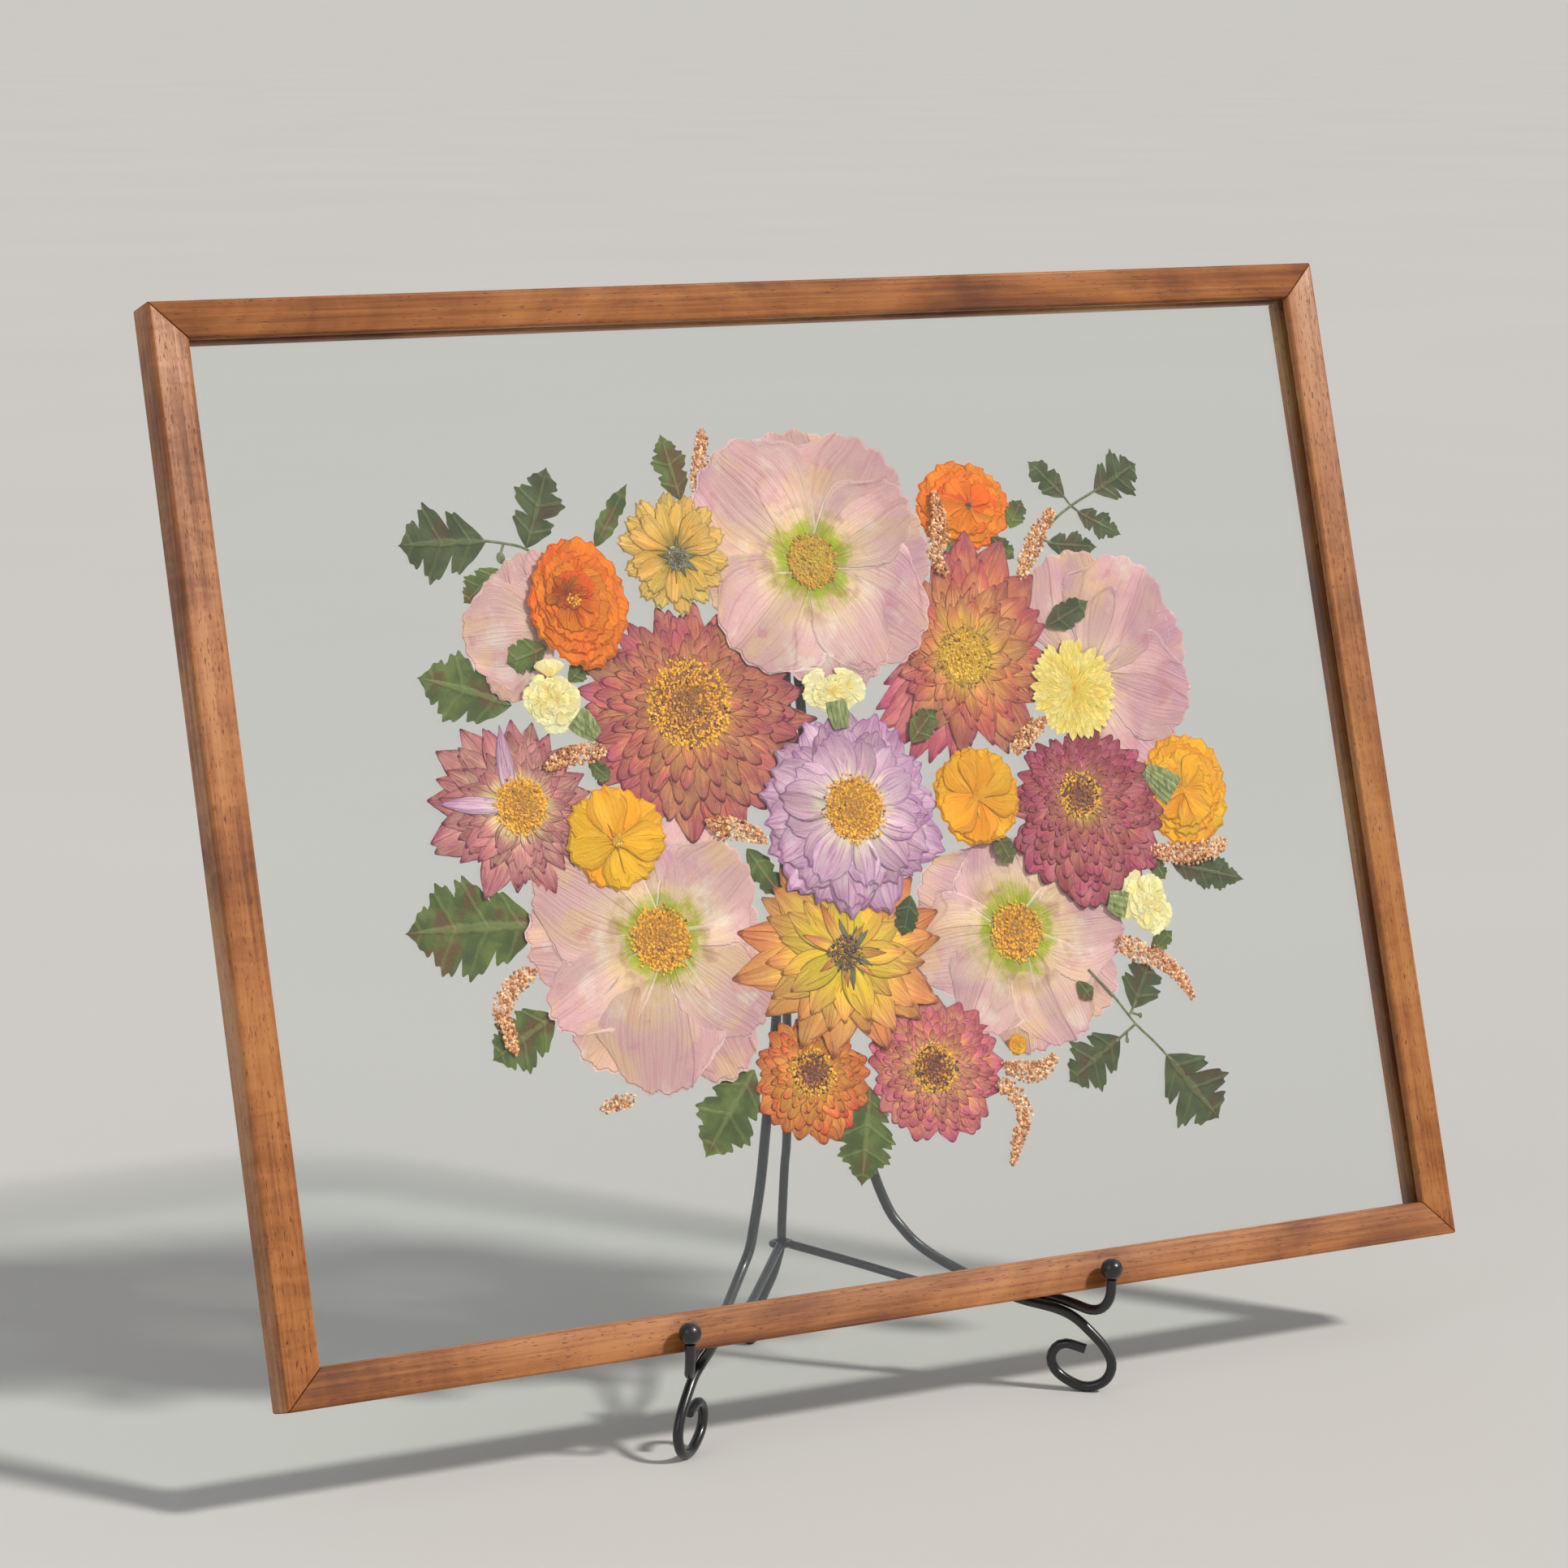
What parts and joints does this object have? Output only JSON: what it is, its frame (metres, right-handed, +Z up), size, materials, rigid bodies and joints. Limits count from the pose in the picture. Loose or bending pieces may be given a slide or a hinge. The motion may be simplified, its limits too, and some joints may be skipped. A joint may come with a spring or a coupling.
{
  "type": "pressed flower frame",
  "caption": "Pressed flowers, leaves and amaranth between two glass panes in a slim stained wood frame that leans back on a small black wire easel with scroll feet.",
  "frame": {"origin": "middle of the bounding box, on the surface that the easel stands on", "axes": "+Z up, +X to the right seen from the front, +Y to the back; the frame's face looks along -Y and leans back 17 degrees"},
  "size_m": [0.508, 0.1416, 0.4293],
  "materials": {
    "stained_wood": "satin",
    "bead_wood": "satin",
    "clear_glass": "gloss",
    "black_wire": "satin",
    "petal_pink": "matte",
    "petal_gold": "matte",
    "petal_orange": "matte",
    "petal_terracotta": "matte",
    "petal_cream": "matte",
    "petal_lilac": "matte",
    "dried_leaf": "matte",
    "dried_sprig": "matte"
  },
  "bodies": {
    "root": {"top_rail": "stained_wood", "bottom_rail": "stained_wood", "left_rail": "stained_wood", "right_rail": "stained_wood", "top_bead": "bead_wood", "bottom_bead": "bead_wood", "left_bead": "bead_wood", "right_bead": "bead_wood", "front_pane": "clear_glass", "back_pane": "clear_glass", "left_front_leg": "black_wire", "right_front_leg": "black_wire", "left_hook": "black_wire", "right_hook": "black_wire", "back_leg": "black_wire", "easel_brace": "black_wire", "bloom_pink_top": "petal_pink", "petals_pink_left": "petal_pink", "bloom_pink_right": "petal_pink", "bloom_pink_lower_left": "petal_pink", "bloom_pink_lower_right": "petal_pink", "zinnia_golden": "petal_gold", "cosmos_golden": "petal_gold", "marigold_golden": "petal_gold", "marigold_golden_right": "petal_gold", "dahlia_rust_tipped": "petal_gold", "marigold_deep_orange": "petal_orange", "marigold_orange": "petal_orange", "dahlia_orange_small": "petal_orange", "dahlia_terracotta": "petal_terracotta", "dahlia_coral": "petal_terracotta", "dahlia_rose": "petal_terracotta", "dahlia_crimson": "petal_terracotta", "dahlia_magenta_small": "petal_terracotta", "pompon_cream": "petal_cream", "carnation_left": "petal_cream", "carnation_middle": "petal_cream", "carnation_right": "petal_cream", "dahlia_lilac": "petal_lilac", "leaf_top": "dried_leaf", "leaf_upper_narrow": "dried_leaf", "leaf_beside_marigold": "dried_leaf", "leaf_left_small": "dried_leaf", "leaf_left_lobed": "dried_leaf", "leaf_left_large": "dried_leaf", "leaf_lower_left": "dried_leaf", "leaf_bottom_left": "dried_leaf", "leaf_bottom_middle": "dried_leaf", "leaf_right_dark": "dried_leaf", "leaf_centre_left": "dried_leaf", "leaf_centre_small": "dried_leaf", "leaf_right_toothed": "dried_leaf", "spray_upper_left": "dried_leaf", "spray_upper_right": "dried_leaf", "spray_lower_right": "dried_leaf", "amaranth_top": "dried_sprig", "amaranth_upright": "dried_sprig", "amaranth_curved": "dried_sprig", "amaranth_drooping": "dried_sprig", "amaranth_bottom": "dried_sprig"}
  },
  "joints": []
}
